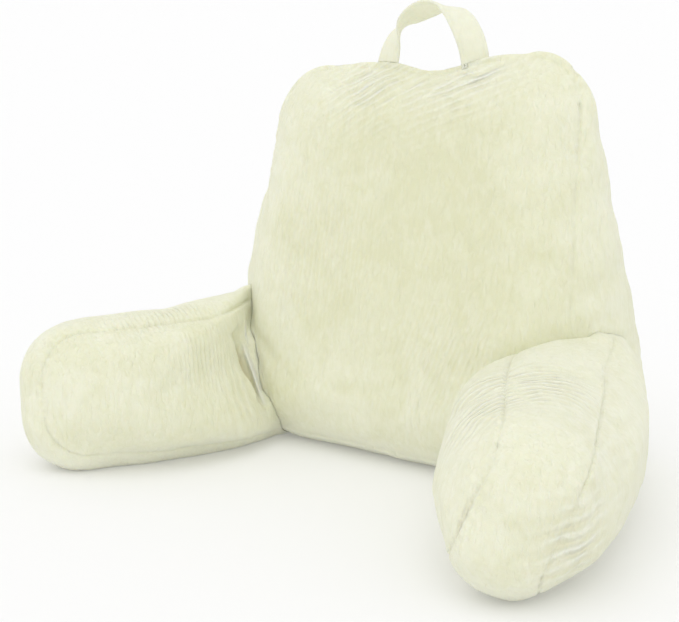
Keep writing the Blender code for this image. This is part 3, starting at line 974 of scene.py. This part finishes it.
def draw_in(piece, neighbour, depth, reach, below):
    """Pull the cloth inwards, or up for less than nothing, where it is sewn to its neighbour."""
    points = points_of(piece)
    normals = normals_of(piece)
    gaps = gap_to(points, surface_of(neighbour), reach)
    pull = depth * np.exp(-(gaps / reach) ** 2)
    pull *= np.clip((below - points[:, 2]) / SEWN_FADE, 0, 1)
    move_to(piece, points - normals * pull[:, None])


def cut_clear(piece, neighbour):
    """Trim away what would lie inside the neighbour, leaving a hair's breadth."""
    room = neighbour.copy()
    room.data = neighbour.data.copy()
    scene.collection.objects.link(room)
    move_to(room, points_of(room) + normals_of(room) * SEWN_GAP)
    trim = piece.modifiers.new("trim", "BOOLEAN")
    trim.operation = "DIFFERENCE"
    trim.solver = "MANIFOLD"
    trim.object = room
    applied(piece)
    bpy.data.objects.remove(room)


arms = []
for row in ARMS:
    root, front = -row["root_run"], row["length"]
    corners = [(root, ARM_FOOT), (front, ARM_FOOT), (front, ARM_TOP_FRONT), (root, ARM_TOP_ROOT)]
    arm, seams = box_cushion(row["name"] + "_cover", corners, ARM_RADII, ARM_CROWNS,
                             ARM_FULLNESS, arm_bulge, arm_placer(row), ARM_STEPS,
                             ARM_STRIP_STEPS)
    settle(arm, seams, ARM_GIVE, ARM_HELD)
    lines = [seam_line(arm, loop) for loop in seams]
    refine(arm, FINER_LEVELS)
    arms.append((row, arm, lines))

# The arms' seams draw the back in too, so it is finished here with them.
for row, arm, _ in arms:
    draw_in(back, arm, *row["back_drawn"])
plump(back, BACK_LUMPS_AT)
fold(back, BACK_FOLDS)
sew(back, back_lines, BACK_CALM)
rest_flat(back)
for k, (row, arm, lines) in enumerate(arms):
    draw_in(arm, back, *row["drawn"])
    plump(arm, ARM_LUMPS_AT + k)
    fold(arm, ARM_FOLDS[row["name"]])
    sew(arm, lines, ARM_CALM)
    rest_flat(arm)
    cut_clear(arm, back)
    cloth = plush(row["name"] + "_plush", PILE, BRUSHED, COVER_BRUSHING, COVER_NAP,
                  ARM_RUNS[row["name"]], ARM_LINES[row["name"]])
    dress(arm, cloth, row["name"])
dress(back, back_plush, "back_cushion")


# Carry handle: one strip of the plush folded double and topstitched near both edges. Both of
# its ends are sewn into the back's top seam lying flat, so the loop twists as it rises.
# The strap's colours are a darker copy of the cover's plush: painted shade standing for the strap's
# shaded faces.
STRAP_PILE_SHADED = (0.880, 0.885, 0.740, 1.0)
STRAP_BRUSHED_SHADED = (0.770, 0.775, 0.600, 1.0)
STRAP_WIDTH = 0.032
STRAP_THICK = 0.0048
STRAP_STITCH_IN = 0.78
STRAP_STITCH_WIDE = 0.06
STRAP_STITCH_DEEP = 0.45
STRAP_EDGE_POWER = 6
STRAP_ACROSS = 24
STRAP_PER_ROW = 12
STRAP_SEAM_BACK = 0.006
STRAP_WAVER = ((0.06, 0.9, 0.0), (0.04, 0.37, 1.0))
STRAP_BRUSHING = 0.8
STRAP_NAP = 0.0005
STRAP_ROWS = [
    {"x": -0.060, "up": -0.020, "turn": 4, "tilt": 0.0},
    {"x": -0.055, "up": 0.010, "turn": 8, "tilt": 0.0},
    {"x": -0.046, "up": 0.034, "turn": 26, "tilt": 0.10},
    {"x": -0.031, "up": 0.053, "turn": 60, "tilt": 0.55},
    {"x": -0.008, "up": 0.0645, "turn": 84, "tilt": 0.75},
    {"x": 0.017, "up": 0.0665, "turn": 104, "tilt": 0.30},
    {"x": 0.038, "up": 0.055, "turn": 126, "tilt": 0.0},
    {"x": 0.053, "up": 0.033, "turn": 142, "tilt": 0.0},
    {"x": 0.061, "up": 0.009, "turn": 154, "tilt": 0.0},
    {"x": 0.065, "up": -0.022, "turn": 164, "tilt": 0.0},
]


def strap_section():
    """Half of the strap's section: shares of half the width and of half the thickness."""
    rows = []
    for k in range(STRAP_ACROSS + 1):
        w = -1.0 + k / (STRAP_ACROSS / 2)
        edge = max(0.0, 1 - abs(w) ** STRAP_EDGE_POWER)
        stitch = exp(-((abs(w) - STRAP_STITCH_IN) / STRAP_STITCH_WIDE) ** 2)
        rows.append((w, edge ** 0.5 * (1 - STRAP_STITCH_DEEP * stitch)))
    return rows


def strap_path():
    """A smooth run through the strap's rows: across, up, turn and tilt at each step."""
    stations = [np.array((r["x"], r["up"], r["turn"], r["tilt"])) for r in STRAP_ROWS]
    path = []
    for k in range(len(stations) - 1):
        p0, p1 = stations[max(k - 1, 0)], stations[k]
        p2, p3 = stations[k + 1], stations[min(k + 2, len(stations) - 1)]
        for s in range(STRAP_PER_ROW):
            f = s / STRAP_PER_ROW
            q = 2 * p1 + (p2 - p0) * f + (2 * p0 - 5 * p1 + 4 * p2 - p3) * f ** 2
            path.append((q + (3 * p1 - p0 - 3 * p2 + p3) * f ** 3) / 2)
    path.append(stations[-1])
    return path


path = strap_path()
section = strap_section()
ring_shape = section + [(w, -d) for w, d in reversed(section[1:-1])]
strap_mesh = bmesh.new()
strap_rings = []
for k, here in enumerate(path):
    ahead, behind = path[min(k + 1, len(path) - 1)], path[max(k - 1, 0)]
    along = Vector((ahead[0] - behind[0], 0.0, ahead[1] - behind[1])).normalized()
    wide = Vector((cos(radians(here[2])), -sin(radians(here[2])), here[3]))
    wide = (wide - along * wide.dot(along)).normalized()
    through = along.cross(wide)
    top = BACK_TOP + BACK_TOP_SLOPE * here[0]
    seam_y = BACK_FRONT_FOOT + BACK_LEAN * top + STRAP_SEAM_BACK
    centre = Vector((here[0], seam_y, top + here[1]))
    waver = 1 + sum(size * sin(k * rate + shift) for size, rate, shift in STRAP_WAVER)
    ring = []
    for w, d in ring_shape:
        off = wide * (w * STRAP_WIDTH / 2) + through * (d * waver * STRAP_THICK / 2)
        ring.append(strap_mesh.verts.new(centre + off))
    strap_rings.append(ring)
for a, b in zip(strap_rings, strap_rings[1:]):
    for k in range(len(ring_shape)):
        m = (k + 1) % len(ring_shape)
        strap_mesh.faces.new((a[k], a[m], b[m], b[k]))
strap_mesh.faces.new(strap_rings[0])
strap_mesh.faces.new(strap_rings[-1])
bmesh.ops.recalc_face_normals(strap_mesh, faces=strap_mesh.faces)
handle_mesh = bpy.data.meshes.new("carry_handle_strap")
strap_mesh.to_mesh(handle_mesh)
strap_mesh.free()
handle = bpy.data.objects.new("carry_handle_strap", handle_mesh)
scene.collection.objects.link(handle)
cut_clear(handle, back)
strap_plush = plush("strap_plush", STRAP_PILE_SHADED, STRAP_BRUSHED_SHADED, STRAP_BRUSHING, STRAP_NAP)
dress(handle, strap_plush, "carry_handle")
